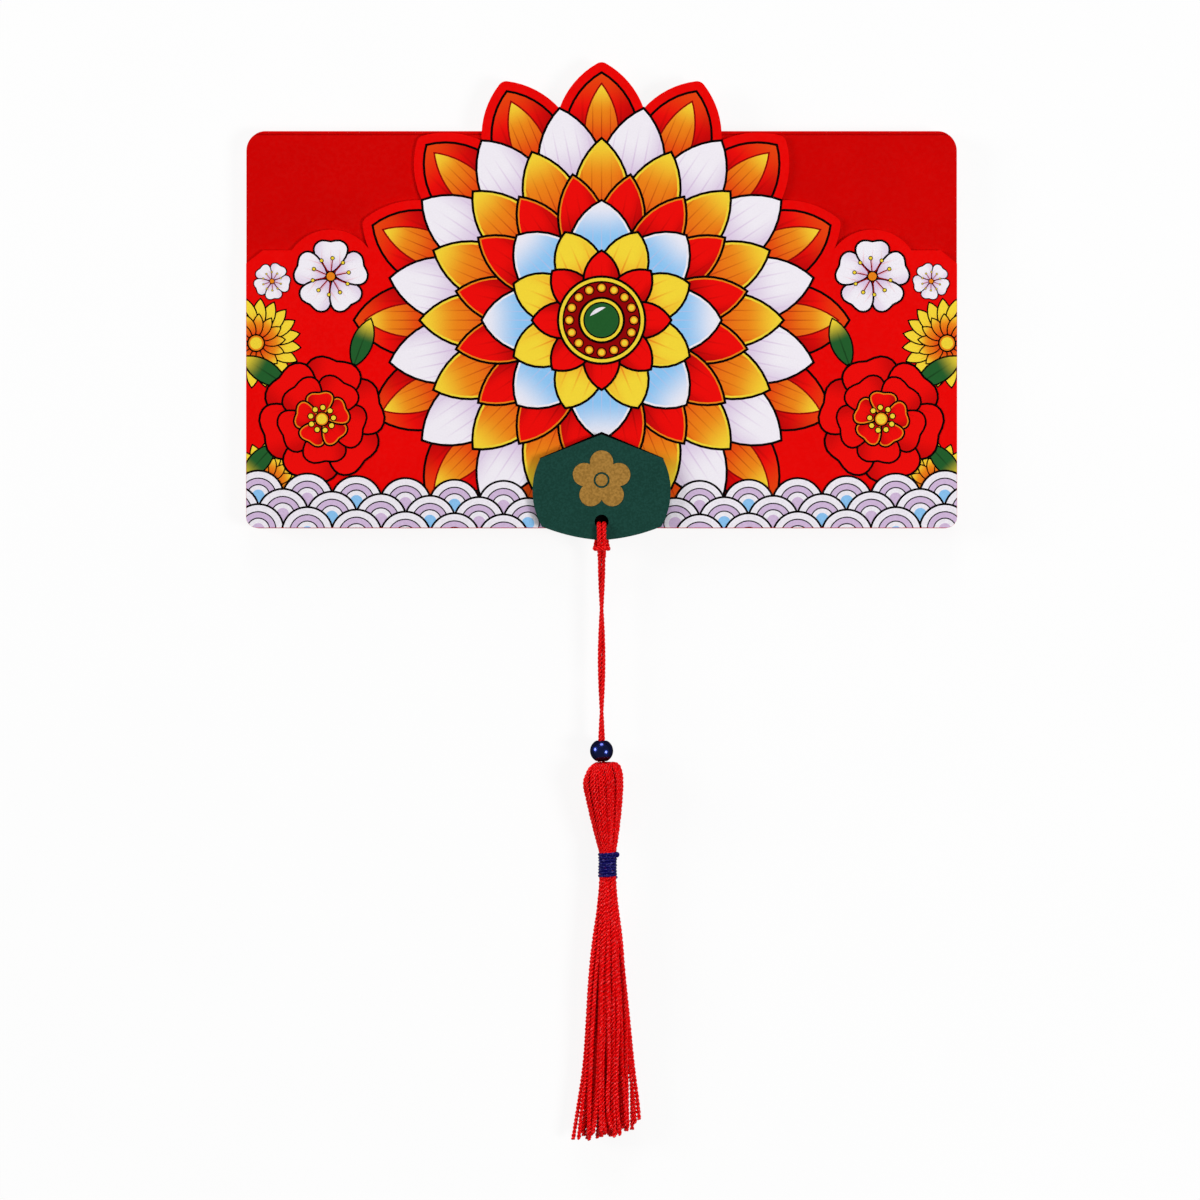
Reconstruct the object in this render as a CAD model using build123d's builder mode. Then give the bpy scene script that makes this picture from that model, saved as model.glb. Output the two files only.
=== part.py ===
from build123d import *
import math
import os

# Folding red envelope, lying on its back with its tassel laid out below it.
# X runs across the card, Y runs up the card, Z runs out of its front.
# The origin is the middle of the back leaf's rear face. All sizes are in millimetres.

# Folded strip of leaves
card_width = 178.0
card_height = 99.5
card_thickness = 0.35
leaf_count = 7
leaf_gap = 0.3
top_corner_radius = 5.0
bottom_corner_radius = 2.8
crease_clearance = 0.06

# Arched slits that hold the ends of a banknote
slit_spread = 140.0
slit_radius = 70.0
slit_length = 61.0
slit_width = 0.5

# Pocket on the cover leaf
front_thickness = 0.4
flap_thickness = 0.3
flap_width = 8.0
flap_margin = 0.6
flap_taper = 6.0
pocket_height = 69.5
pocket_chamfer_width = 4.2
pocket_chamfer_height = 3.3

# Die-cut crest: a round many-petalled flower with a plain margin, and a lobe each side
flower_height = 52.0
flower_petals = 16
crest_petals = 7
petal_tip_radius = 62.4
petal_swell_radius = 55.5
petal_swell_width = 14.0
petal_base_radius = 43.0
petal_base_width = 18.6
flower_disc_radius = 48.0
print_margin = 2.2
side_lobe_spread = 135.6
side_lobe_height = 62.9
side_lobe_radius = 11.8

# Pull tag, its foam pad and its foil blossom
tag_thickness = 0.8
tag_peak_height = 23.3
tag_shoulder_height = 17.3
tag_shoulder_width = 30.7
tag_waist_height = 8.6
tag_waist_width = 34.5
tag_foot_height = 0.3
tag_foot_width = 29.8
tag_tip_drop = 3.1
tag_edge_bulge = 0.65
tag_hole_diameter = 3.5
tag_hole_height = 1.55
pad_width = 20.0
pad_length = 10.0
pad_height = 12.5
foil_thickness = 0.1
foil_height = 11.9
foil_petals = 5
foil_petal_radius = 2.9
foil_petal_offset = 4.5
foil_heart_radius = 1.5
foil_heart_gap = 0.5

# Cord of two strands, hitched through the tag
strand_diameter = 0.9
strand_gap = 0.06
strand_sides = 6
cord_clearance = 0.15
hitch_rise = 0.3
hitch_tip_gap = 1.3
hitch_half_width = 1.5
hitch_tail = 2.0
joint_gap = 0.4
cord_run = 48.5

# Bead
bead_diameter = 5.8
bead_bore_clearance = 0.17
bead_bore_break = 0.3

# Tassel: round head of folded yarn, bound neck, open skirt
yarn_ridges = 14
ridge_depth = 0.35
floor_clearance = 0.15
bead_seat_gap = 0.3
head_shoulder_drop = 2.4
head_shoulder_width = 7.0
head_width = 10.3
head_widest_drop = 5.5
head_middle_width = 7.6
head_middle_drop = 13.5
head_length = 22.8
neck_width = 3.7
binding_length = 6.8
binding_thread = 0.6
binding_turns = 6
thread_sides = 5
binding_seat_gap = 0.02
skirt_top_width = 3.9
skirt_length = 65.0
skirt_middle_width = 10.4
skirt_middle_drop = 32.5
skirt_end_width = 15.5
skirt_end_thickness = 6.0

# Heights of the stacked layers above the resting face
leaf_pitch = card_thickness + leaf_gap
crease_radius = (leaf_pitch + card_thickness) / 2
cover_bottom = (leaf_count - 1) * leaf_pitch
cover_top = cover_bottom + card_thickness
front_bottom = cover_top + flap_thickness
front_top = front_bottom + front_thickness
pad_thickness = strand_diameter + 2 * cord_clearance
tag_bottom = front_top + pad_thickness
tag_top = tag_bottom + tag_thickness

# Lines across the card
top_edge = card_height / 2
bottom_edge = -card_height / 2
fold_line = card_height / 2 - crease_radius
flower_y = bottom_edge + flower_height
tag_hole_y = bottom_edge + tag_hole_height
tag_tip_y = bottom_edge - tag_tip_drop

# Stations of the cord and the tassel, which lie straight down from the tag
strand_radius = strand_diameter / 2
strand_x = (strand_diameter + strand_gap) / 2
collar_y = tag_tip_y - hitch_tip_gap - strand_radius
hinge_y = collar_y - hitch_tail - strand_radius
bead_y = hinge_y - cord_run
bead_radius = bead_diameter / 2
tassel_z = head_width / 2 + floor_clearance
head_y = bead_y - head_shoulder_drop
neck_y = head_y - head_length
skirt_y = neck_y - binding_length

os.makedirs("parts", exist_ok=True)


def save(part, name):
    """Label one finished piece and write it under its own name."""
    part.label = name
    export_step(part, f"parts/{name}.step")


def corner_radii(points):
    """Largest smooth bend at each inner point of a cord's route."""
    radii = []
    for before, here, after in zip(points, points[1:], points[2:]):
        run_in = Vector(*here) - Vector(*before)
        run_out = Vector(*after) - Vector(*here)
        half_turn = math.radians(run_in.get_angle(run_out)) / 2
        radii.append(0.45 * min(run_in.length, run_out.length) / math.tan(half_turn))
    return radii


def leaf_name(index):
    """Name of a leaf, counted from the back of the folded stack."""
    if index == 0:
        return "back_leaf"
    if index == leaf_count - 1:
        return "cover_leaf"
    return f"slot_leaf_{index}"


# Leaves of the concertina: each carries the rolled crease that joins it to the next one
slit_half_angle = math.degrees(math.asin(slit_length / 2 / slit_radius))
with BuildLine() as slit_line:
    CenterArc((slit_spread / 2 - slit_radius, 0), slit_radius, -slit_half_angle, 2 * slit_half_angle)

for index in range(leaf_count):
    is_cover = index == leaf_count - 1
    leaf_bottom = index * leaf_pitch
    leaf_top = leaf_bottom + card_thickness
    # The crease to the next leaf alternates between the bottom and the top edge.
    side = -1 if index % 2 == 0 else 1
    near_end = top_edge if index == 0 else fold_line - crease_radius - crease_clearance
    roll_depth = math.sqrt(crease_radius**2 - (crease_radius - card_thickness) ** 2)
    roll_top = leaf_bottom + 2 * crease_radius
    roll_back_z = leaf_bottom + crease_radius
    with BuildPart() as leaf:
        with BuildSketch(Plane.YZ.offset(-card_width / 2)) as section:
            with BuildLine():
                near_low = (-side * near_end, leaf_bottom)
                near_high = (-side * near_end, leaf_top)
                if is_cover:
                    Polyline(
                        near_high,
                        near_low,
                        (side * top_edge, leaf_bottom),
                        (side * top_edge, leaf_top),
                        close=True,
                    )
                else:
                    fold_low = (side * fold_line, leaf_bottom)
                    fold_high = (side * fold_line, roll_top)
                    fold_inner = (side * (fold_line - roll_depth), leaf_top)
                    Line(near_low, fold_low)
                    ThreePointArc(fold_low, (side * top_edge, roll_back_z), fold_high)
                    ThreePointArc(
                        fold_high,
                        (side * (fold_line - crease_radius), roll_back_z),
                        fold_inner,
                    )
                    Polyline(fold_inner, near_high, near_low)
            make_face()
        extrude(amount=card_width)
        with BuildSketch(Plane.XY.offset(leaf_bottom)) as die_cut:
            Rectangle(card_width, card_height)
            fillet(die_cut.vertices().group_by(Axis.Y)[-1], radius=top_corner_radius)
            fillet(die_cut.vertices().group_by(Axis.Y)[0], radius=bottom_corner_radius)
        extrude(amount=2 * crease_radius, mode=Mode.INTERSECT)
        if not is_cover:
            with BuildSketch(Plane.XY.offset(leaf_bottom)) as slits:
                SlotArc(slit_line.edges()[0], slit_width)
                mirror(about=Plane.YZ)
            extrude(amount=card_thickness, mode=Mode.SUBTRACT)
    save(leaf.part, leaf_name(index))

# Glue flaps that space the pocket front off the cover leaf on three sides
flap_x = card_width / 2 - flap_margin
flap_low = bottom_edge + flap_margin
flap_high = bottom_edge + pocket_height - pocket_chamfer_height - flap_margin
side_flap_low = flap_low + flap_width + flap_margin
with BuildPart() as right_flap:
    with BuildSketch(Plane.XY.offset(cover_top)):
        Polygon(
            (flap_x, side_flap_low),
            (flap_x, flap_high),
            (flap_x - flap_width, flap_high - flap_taper),
            (flap_x - flap_width, side_flap_low + flap_taper),
            align=None,
        )
    extrude(amount=flap_thickness)
save(right_flap.part, "right_glue_flap")

with BuildPart() as left_flap:
    add(right_flap.part)
    mirror(about=Plane.YZ, mode=Mode.REPLACE)
save(left_flap.part, "left_glue_flap")

bottom_flap_x = card_width / 2 - bottom_corner_radius
with BuildPart() as bottom_flap:
    with BuildSketch(Plane.XY.offset(cover_top)):
        Polygon(
            (-bottom_flap_x, flap_low),
            (bottom_flap_x, flap_low),
            (bottom_flap_x - flap_taper, flap_low + flap_width),
            (-bottom_flap_x + flap_taper, flap_low + flap_width),
            align=None,
        )
    extrude(amount=flap_thickness)
save(bottom_flap.part, "bottom_glue_flap")

# Die-cut pocket front, whose flower crest stands above the card's top edge
with BuildSketch() as crest_petal:
    with BuildLine():
        base_right = (petal_base_width / 2, petal_base_radius)
        base_left = (-petal_base_width / 2, petal_base_radius)
        tip = (0, petal_tip_radius)
        ThreePointArc(base_right, (petal_swell_width / 2, petal_swell_radius), tip)
        ThreePointArc(tip, (-petal_swell_width / 2, petal_swell_radius), base_left)
        Line(base_left, base_right)
    make_face()
    offset(amount=print_margin, kind=Kind.ARC)

pocket_x = card_width / 2
pocket_y = bottom_edge + pocket_height
petal_step = 360 / flower_petals
with BuildPart() as crest_front:
    with BuildSketch(Plane.XY.offset(front_bottom)) as crest_outline:
        Polygon(
            (-pocket_x, bottom_edge),
            (pocket_x, bottom_edge),
            (pocket_x, pocket_y - pocket_chamfer_height),
            (pocket_x - pocket_chamfer_width, pocket_y),
            (-pocket_x + pocket_chamfer_width, pocket_y),
            (-pocket_x, pocket_y - pocket_chamfer_height),
            align=None,
        )
        fillet(crest_outline.vertices().group_by(Axis.Y)[0], radius=bottom_corner_radius)
        with Locations(
            (side_lobe_spread / 2, bottom_edge + side_lobe_height),
            (-side_lobe_spread / 2, bottom_edge + side_lobe_height),
        ):
            Circle(side_lobe_radius)
        with Locations((0, flower_y)):
            Circle(flower_disc_radius + print_margin)
            with PolarLocations(
                0,
                crest_petals,
                start_angle=-petal_step * (crest_petals - 1) / 2,
                angular_range=petal_step * (crest_petals - 1),
                endpoint=True,
            ):
                add(crest_petal.sketch)
    extrude(amount=front_thickness)
save(crest_front.part, "crest_front")

# Foam pad that lifts the tag so that the cord passes behind it
with BuildPart() as tag_pad:
    with BuildSketch(Plane.XY.offset(front_top)):
        with Locations((0, bottom_edge + pad_height)):
            RectangleRounded(pad_width, pad_length, bottom_corner_radius)
    extrude(amount=pad_thickness)
save(tag_pad.part, "tag_pad")

# Barrel-sided pull tag with the cord's hole above its lower tip
with BuildPart() as pull_tag:
    with BuildSketch(Plane.XY.offset(tag_bottom)):
        with BuildLine():
            peak = (0, bottom_edge + tag_peak_height)
            shoulder = (tag_shoulder_width / 2, bottom_edge + tag_shoulder_height)
            waist = (tag_waist_width / 2, bottom_edge + tag_waist_height)
            foot = (tag_foot_width / 2, bottom_edge + tag_foot_height)
            tip = (0, tag_tip_y)
            Line(peak, shoulder)
            ThreePointArc(shoulder, waist, foot)
            lower_edge = (foot[0] / 2, (foot[1] + tag_tip_y) / 2 - tag_edge_bulge)
            ThreePointArc(foot, lower_edge, tip)
            mirror(about=Plane.YZ)
        make_face()
        with Locations((0, tag_hole_y)):
            Circle(tag_hole_diameter / 2, mode=Mode.SUBTRACT)
    extrude(amount=tag_thickness)
save(pull_tag.part, "pull_tag")

# Foil blossom pressed on the tag
with BuildPart() as foil_emblem:
    with BuildSketch(Plane.XY.offset(tag_top)):
        with Locations((0, bottom_edge + foil_height)):
            with PolarLocations(foil_petal_offset, foil_petals, start_angle=90):
                Circle(foil_petal_radius)
            Circle(foil_petal_offset)
            Circle(foil_heart_radius + foil_heart_gap, mode=Mode.SUBTRACT)
            Circle(foil_heart_radius)
    extrude(amount=foil_thickness)
save(foil_emblem.part, "foil_emblem")

# Hitch: the strands pass through the hole, and their bight comes round the tag's tip over them
hitch_front_z = tag_top + hitch_rise + strand_radius
hitch_back_z = front_top + pad_thickness / 2
rim_y = tag_hole_y - tag_hole_diameter / 2
hole_turn_y = rim_y + cord_clearance + strand_radius + (hitch_front_z - hitch_back_z) / 4
over_tip_y = tag_tip_y - strand_diameter
tail_y = hinge_y + strand_radius + joint_gap
bar_z = hitch_front_z + strand_radius
left_half = [
    (-strand_x, tail_y, tassel_z),
    (-strand_x, over_tip_y, hitch_front_z),
    (-strand_x, hole_turn_y, hitch_front_z),
    (-strand_x, hole_turn_y, hitch_back_z),
    (-hitch_half_width, collar_y, hitch_back_z),
    (-hitch_half_width, collar_y, bar_z),
]
right_half = [(-x, y, z) for x, y, z in reversed(left_half)]
hitch_points = left_half + right_half
hitch_radii = corner_radii(hitch_points)
with BuildPart() as cord_hitch:
    with BuildLine() as hitch_route:
        FilletPolyline(*hitch_points, radius=hitch_radii)
    with BuildSketch(Plane(origin=hitch_route.line @ 0, z_dir=hitch_route.line % 0)):
        RegularPolygon(strand_radius, strand_sides)
    sweep()
save(cord_hitch.part, "cord_hitch")
print("hitch bend radii", [round(radius, 2) for radius in hitch_radii])

# Two straight strands from the hitch to the tassel head, round at the end that swings
cord_end_y = bead_y - bead_radius
with BuildPart() as tassel_cord:
    with BuildSketch(Plane.XZ.offset(-hinge_y)):
        with Locations((strand_x, tassel_z), (-strand_x, tassel_z)):
            Circle(strand_radius)
    extrude(amount=hinge_y - cord_end_y)
    with Locations((strand_x, hinge_y, tassel_z), (-strand_x, hinge_y, tassel_z)):
        Sphere(strand_radius)
save(tassel_cord.part, "tassel_cord")

# Bead with a bore that both strands pass through, its two mouths eased
bore_radius = strand_x + strand_radius + bead_bore_clearance
mouth_radius = bore_radius + bead_bore_break
mouth_y = math.sqrt(bead_radius**2 - mouth_radius**2)
bore_y = mouth_y - bead_bore_break
with BuildPart() as bead:
    with BuildSketch(Plane.XY.offset(tassel_z)):
        with BuildLine():
            ThreePointArc(
                (mouth_radius, bead_y - mouth_y),
                (bead_radius, bead_y),
                (mouth_radius, bead_y + mouth_y),
            )
            Polyline(
                (mouth_radius, bead_y + mouth_y),
                (bore_radius, bead_y + bore_y),
                (bore_radius, bead_y - bore_y),
                (mouth_radius, bead_y - mouth_y),
            )
        make_face()
    revolve(axis=Axis((0, 0, tassel_z), (0, 1, 0)))
save(bead.part, "bead")


def yarn_ring(y, z, width, thickness):
    """Closed ring of yarn ridges round the tassel's axis, drawn on a plane across it."""
    plane = Plane(origin=(0, y, z), x_dir=(1, 0, 0), z_dir=(0, -1, 0))
    corners = []
    for corner in range(2 * yarn_ridges):
        angle = math.pi * corner / yarn_ridges
        inset = ridge_depth if corner % 2 else 0
        across = (width / 2 - inset) * math.cos(angle)
        corners.append((across, (thickness / 2 - inset) * math.sin(angle)))
    with BuildSketch(plane) as ring:
        Polygon(*corners, align=None)
    return ring.sketch


# Round head of folded yarn that cups the bead, running down into the bound neck
head_rings = [
    (head_y, head_shoulder_width),
    (head_y - head_widest_drop / 3, (head_shoulder_width + 2 * head_width) / 3),
    (head_y - head_widest_drop, head_width),
    (head_y - (head_widest_drop + head_middle_drop) / 2, (head_width + head_middle_width) / 2),
    (head_y - head_middle_drop, head_middle_width),
    (neck_y, neck_width + 2 * ridge_depth),
]
head_sections = [yarn_ring(y, tassel_z, width, width) for y, width in head_rings]
with BuildPart() as tassel_head:
    for section in head_sections:
        add(section)
    loft(ruled=True)
    with BuildSketch(Plane.XZ.offset(-neck_y)):
        with Locations((0, tassel_z)):
            Circle(neck_width / 2)
    extrude(amount=binding_length)
    with Locations((0, bead_y, tassel_z)):
        Sphere(bead_radius + bead_seat_gap, mode=Mode.SUBTRACT)
save(tassel_head.part, "tassel_head")

# Binding: one thread wound round the neck
winding_radius = neck_width / 2 + binding_seat_gap + binding_thread / 2
winding_span = binding_length - binding_thread - 2 * binding_seat_gap
winding_start = neck_y - binding_seat_gap - binding_thread / 2
winding_pitch = winding_span / binding_turns
quarter_turns = 4 * binding_turns


def winding_at(turns):
    """Point and direction of the wound thread after so many turns."""
    angle = 2 * math.pi * turns
    around = 2 * math.pi * winding_radius
    point = Vector(
        winding_radius * math.cos(angle),
        winding_start - winding_pitch * turns,
        tassel_z + winding_radius * math.sin(angle),
    )
    heading = Vector(-around * math.sin(angle), -winding_pitch, around * math.cos(angle))
    return point, heading.normalized()


with BuildPart() as tassel_binding:
    with BuildLine() as winding_route:
        first, heading = winding_at(0)
        Line(first - heading * binding_thread, first)
        for quarter in range(quarter_turns):
            start, start_dir = winding_at(quarter / 4)
            end, end_dir = winding_at((quarter + 1) / 4)
            chord = end - start
            closing = 2 * (1 - start_dir.dot(end_dir))
            along = chord.dot(start_dir + end_dir)
            reach = (math.sqrt(along**2 + closing * chord.dot(chord)) - along) / closing
            middle = (start + end + (start_dir - end_dir) * reach) * 0.5
            middle_dir = (chord - (start_dir + end_dir) * reach).normalized()
            TangentArc(start, middle, tangent=start_dir)
            TangentArc(middle, end, tangent=middle_dir)
        last, heading = winding_at(binding_turns)
        Line(last, last + heading * binding_thread)
    with BuildSketch(Plane(origin=winding_route.line @ 0, z_dir=winding_route.line % 0)):
        RegularPolygon(binding_thread / 2, thread_sides)
    sweep()
save(tassel_binding.part, "tassel_binding")

# Least clear gap between one turn of the binding and the next
samples = [winding_at(step / 48)[0] for step in range(48 * binding_turns + 1)]
least_gap = min(
    (samples[i] - samples[j]).length - binding_thread
    for i in range(len(samples))
    for j in range(i + 24, len(samples))
)
print("binding least gap", round(least_gap, 3))

# Skirt of yarn, round at the neck and flattened where its end lies on the table
skirt_end_z = skirt_end_thickness / 2 + floor_clearance
skirt_drop = (tassel_z - skirt_end_z) / skirt_length
skirt_middle_thickness = (skirt_top_width + skirt_end_thickness) / 2
skirt_rings = [
    (0, skirt_top_width, skirt_top_width),
    (skirt_middle_drop / 2, (skirt_top_width + skirt_middle_width) / 2, skirt_middle_thickness),
    (skirt_middle_drop, skirt_middle_width, skirt_end_thickness),
    (skirt_length, skirt_end_width, skirt_end_thickness),
]
skirt_sections = [
    yarn_ring(skirt_y - drop, tassel_z - skirt_drop * drop, width, thickness)
    for drop, width, thickness in skirt_rings
]
with BuildPart() as tassel_skirt:
    for section in skirt_sections:
        add(section)
    loft(ruled=True)
save(tassel_skirt.part, "tassel_skirt")
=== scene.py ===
"""Looks of a folding red envelope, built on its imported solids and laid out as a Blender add-on."""

import math
import random

import bmesh
import bpy
from bpy.props import FloatProperty, FloatVectorProperty, IntProperty, PointerProperty
from mathutils import Matrix, Vector


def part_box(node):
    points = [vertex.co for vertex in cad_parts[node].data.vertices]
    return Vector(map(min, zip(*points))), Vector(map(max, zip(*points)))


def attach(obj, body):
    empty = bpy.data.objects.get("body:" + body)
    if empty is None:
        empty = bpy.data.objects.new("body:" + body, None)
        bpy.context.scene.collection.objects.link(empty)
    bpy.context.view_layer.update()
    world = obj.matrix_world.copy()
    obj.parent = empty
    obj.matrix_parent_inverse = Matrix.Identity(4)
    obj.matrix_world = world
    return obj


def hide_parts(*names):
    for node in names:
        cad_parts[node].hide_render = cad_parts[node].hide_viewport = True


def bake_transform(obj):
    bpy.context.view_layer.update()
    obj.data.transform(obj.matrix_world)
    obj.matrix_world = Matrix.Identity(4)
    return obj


bl_info = {
    "name": "Folding red envelope",
    "version": (1, 0, 0),
    "blender": (4, 5, 0),
    "location": "View3D > Sidebar > Envelope",
    "description": "Prints, cord and tassel of a folding red envelope",
    "category": "Object",
}

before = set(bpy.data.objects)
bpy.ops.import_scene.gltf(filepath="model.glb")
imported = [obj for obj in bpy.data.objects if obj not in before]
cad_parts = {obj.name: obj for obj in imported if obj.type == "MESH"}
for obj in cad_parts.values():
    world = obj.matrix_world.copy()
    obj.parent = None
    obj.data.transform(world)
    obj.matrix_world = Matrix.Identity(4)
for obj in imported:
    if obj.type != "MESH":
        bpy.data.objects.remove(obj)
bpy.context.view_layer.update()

# Flat shapes are drawn in millimetres and scaled to metres at the end.
MM = 0.001
FULL_TURN = 2 * math.pi


def place_of(node):
    """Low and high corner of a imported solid, in millimetres."""
    return [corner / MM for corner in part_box(node)]


CARD_LOW, CARD_HIGH = place_of("cover_leaf")
TAG_LOW, TAG_HIGH = place_of("pull_tag")
BEAD_LOW, BEAD_HIGH = place_of("bead")
BINDING_LOW, BINDING_HIGH = place_of("tassel_binding")
SKIRT_LOW, SKIRT_HIGH = place_of("tassel_skirt")
FRONT_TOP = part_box("crest_front")[1].z / MM
HEAD_TOP = place_of("tassel_head")[1].y
FLOWER_Y = CARD_LOW.y + 52.0
TAG_HOLE_Y = CARD_LOW.y + 1.55
TASSEL_Z = (BEAD_LOW.z + BEAD_HIGH.z) / 2
SKIRT_LENGTH = SKIRT_HIGH.y - SKIRT_LOW.y
SKIRT_END_Z = 3.15
HINGE_Y = -57.05
CORD_END_Y = -108.45

# Hitch's route, repeated from the part's source, with its bight drawn in on the strands
HITCH_HALF = [
    (-0.48, -57.05, 5.3),
    (-0.5, -56.2, 5.45),
    (-0.55, -54.05, 7.97),
    (-0.6, -48.8, 7.75),
    (-0.6, -48.8, 5.55),
    (-1.5, -54.9, 5.5),
    (-1.75, -54.95, 8.3),
]
HITCH_ROUTE = HITCH_HALF + [(-x, y, z) for x, y, z in reversed(HITCH_HALF)]
CORD_ROUTE = [(0, y, TASSEL_Z) for y in (HINGE_Y, -74.0, -91.0, CORD_END_Y)]


def length_prop(name, description, default):
    """Size that a user may change, in metres."""
    units = {"subtype": "DISTANCE", "unit": "LENGTH"}
    return FloatProperty(name=name, description=description, default=default, min=0, **units)


def colour_prop(name, description, default):
    """Colour that a user may change, as it looks on the screen."""
    kind = {"size": 3, "min": 0, "max": 1, "subtype": "COLOR_GAMMA"}
    return FloatVectorProperty(name=name, description=description, default=default, **kind)


def count_prop(name, description, default, least):
    """Number of like things that a user may change."""
    return IntProperty(name=name, description=description, default=default, min=least)


def level_prop(name, description, default, least=0, unit="NONE"):
    """Strength or plain number that a user may change."""
    return FloatProperty(name=name, description=description, default=default, min=least, unit=unit)


class EnvelopePrint(bpy.types.PropertyGroup):
    """Sizes and inks of the printed front."""

    outline: length_prop("Outline", "Width of the black line round each petal", 0.0006)
    film: length_prop("Ink film", "Thickness of one layer of ink", 0.000012)
    layer: length_prop("Layer step", "Height from one layer of ink to the next", 0.00002)
    petals: count_prop("Petals", "Petals in each large ring of the flower", 16, 5)
    black: colour_prop("Black ink", "Ink of the outlines", (0.035, 0.015, 0.015))
    white: colour_prop("White ink", "Ink of the pale petals and waves", (0.95, 0.93, 0.96))
    lilac: colour_prop("Lilac ink", "Shade of the white petals", (0.83, 0.73, 0.86))
    blue: colour_prop("Pale blue ink", "Ink of the inner petals and waves", (0.55, 0.77, 0.95))
    yellow: colour_prop("Yellow ink", "Light gold of the print", (0.96, 0.84, 0.22))
    amber: colour_prop("Amber ink", "Deep gold of the print", (0.93, 0.52, 0.1))
    flame: colour_prop("Flame ink", "Orange red of the outer petals", (0.9, 0.27, 0.06))
    red: colour_prop("Red ink", "Bright red of the print", (0.93, 0.05, 0.04))
    deep_red: colour_prop("Deep red ink", "Shade of the red petals", (0.58, 0.02, 0.03))
    green: colour_prop("Green ink", "Ink of the leaves and the flower's heart", (0.14, 0.36, 0.17))


class EnvelopeCard(bpy.types.PropertyGroup):
    """Colours of the card, the tag and its foil."""

    leaf: colour_prop("Leaf card", "Plain darker red of the folded leaves", (0.82, 0.012, 0.008))
    front: colour_prop("Front card", "Brighter red of the pocket front", (0.925, 0.025, 0.02))
    core: colour_prop("Card core", "Pale core that shows at cut edges", (0.93, 0.74, 0.68))
    tag: colour_prop("Tag card", "Dark green of the pull tag", (0.1, 0.245, 0.21))
    foil: colour_prop("Foil", "Gold of the stamped blossom", (0.72, 0.53, 0.22))


class EnvelopeTassel(bpy.types.PropertyGroup):
    """Sizes and colours of the cord, the bead and the tassel."""

    strand: length_prop("Strand", "Diameter of one strand of the cord", 0.0009)
    strand_gap: length_prop("Strand spacing", "Distance between the two strands' middles", 0.00096)
    ply_pitch: length_prop("Ply pitch", "Length of one twist of a strand's plies", 0.0031)
    twist: length_prop("Yarn twist", "Length of one twist of the tassel's yarn", 0.002)
    thread: length_prop("Thread", "Diameter of one thread of the tassel", 0.00114)
    head_threads: count_prop("Head threads", "Threads round the tassel's head", 46, 12)
    skirt_threads: count_prop("Skirt threads", "Threads of the skirt", 66, 20)
    binding_turns: count_prop("Binding turns", "Turns of navy thread round the neck", 8, 3)
    lean: length_prop("Lean", "Sideways lean of the tassel's neck", 0.0015)
    cord: colour_prop("Cord", "Red of the cord", (0.96, 0.03, 0.04))
    yarn: colour_prop("Yarn", "Red of the tassel's yarn", (0.99, 0.02, 0.03))
    binding: colour_prop("Binding", "Navy of the binding thread", (0.06, 0.045, 0.34))
    bead: colour_prop("Bead", "Navy of the bead", (0.1, 0.15, 0.42))


class EnvelopeStage(bpy.types.PropertyGroup):
    """Camera, floor and lamps."""

    view_width: length_prop("View width", "Width that the picture takes in", 0.3004)
    lens: level_prop("Lens", "Focal length of the camera in millimetres", 100.0, 20)
    sky: level_prop("Sky", "Strength of the even light from all round", 0.2)
    left: level_prop("Left lamp", "Power of the left lamp", 14.0, unit="POWER")
    top: level_prop("Top lamp", "Power of the top lamp", 9.5, unit="POWER")
    right: level_prop("Right lamp", "Power of the right lamp", 13.5, unit="POWER")


def linear(colour, share=1.0):
    """Share of a screen colour, as the linear colour that a shader takes."""
    steps = [c / 12.92 if c <= 0.04045 else ((c + 0.055) / 1.055) ** 2.4 for c in colour]
    return (*(share * step for step in steps), 1.0)


class Tree:
    """Short calls that add and join the nodes of one node tree."""

    def __init__(self, tree):
        self.tree = tree
        self.shader = tree.nodes.get("Principled BSDF")

    def node(self, kind, inputs=None, **settings):
        """New node with its settings, and with values or links for its inputs."""
        made = self.tree.nodes.new("ShaderNode" + kind)
        for key, value in settings.items():
            setattr(made, key, value)
        for key, value in (inputs or {}).items():
            self.feed(made.inputs[key], value)
        return made

    def feed(self, socket, value):
        """Link or set one input socket."""
        if isinstance(value, bpy.types.NodeSocket):
            self.tree.links.new(value, socket)
        else:
            socket.default_value = value

    def drive(self, name, value):
        """Link or set one input of the tree's shader."""
        self.feed(self.shader.inputs[name], value)

    def relief(self, height, strength, distance):
        """Bump on the tree's shader."""
        made = self.node("Bump", {"Height": height, "Strength": strength, "Distance": distance})
        self.drive("Normal", made.outputs[0])

    def group(self, name, inputs):
        """Outputs of a shared group, with values or links for its inputs."""
        return self.node("Group", inputs, node_tree=shared_group(name)).outputs

    def math(self, operation, *values):
        """Output of a Math node."""
        return self.node("Math", dict(enumerate(values)), operation=operation).outputs[0]

    def mix(self, factor, first, second, blend="MIX"):
        """Colour mixed from two others."""
        made = self.node("Mix", {0: factor, 6: first, 7: second}, data_type="RGBA", blend_type=blend)
        return made.outputs[2]

    def smooth(self, value, low, high):
        """Value eased from 0 at low to 1 at high."""
        sockets = {"Value": value, "From Min": low, "From Max": high}
        return self.node("MapRange", sockets, interpolation_type="SMOOTHSTEP").outputs["Result"]

    def noise(self, vector, scale, detail):
        """Even noise about 0.5."""
        return self.node("TexNoise", {"Vector": vector, "Scale": scale, "Detail": detail}).outputs["Fac"]

    def mottle(self, scale, detail, low=0.3, high=0.7):
        """Noise on the object, eased to blotches between 0 and 1."""
        return self.smooth(self.noise(self.coords("Object"), scale, detail), low, high)

    def coords(self, name):
        """One kind of texture coordinate."""
        return self.node("TexCoord").outputs[name]

    def parts(self, vector):
        """The three parts of a vector."""
        return self.node("SeparateXYZ", {0: vector}).outputs[:3]


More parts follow.
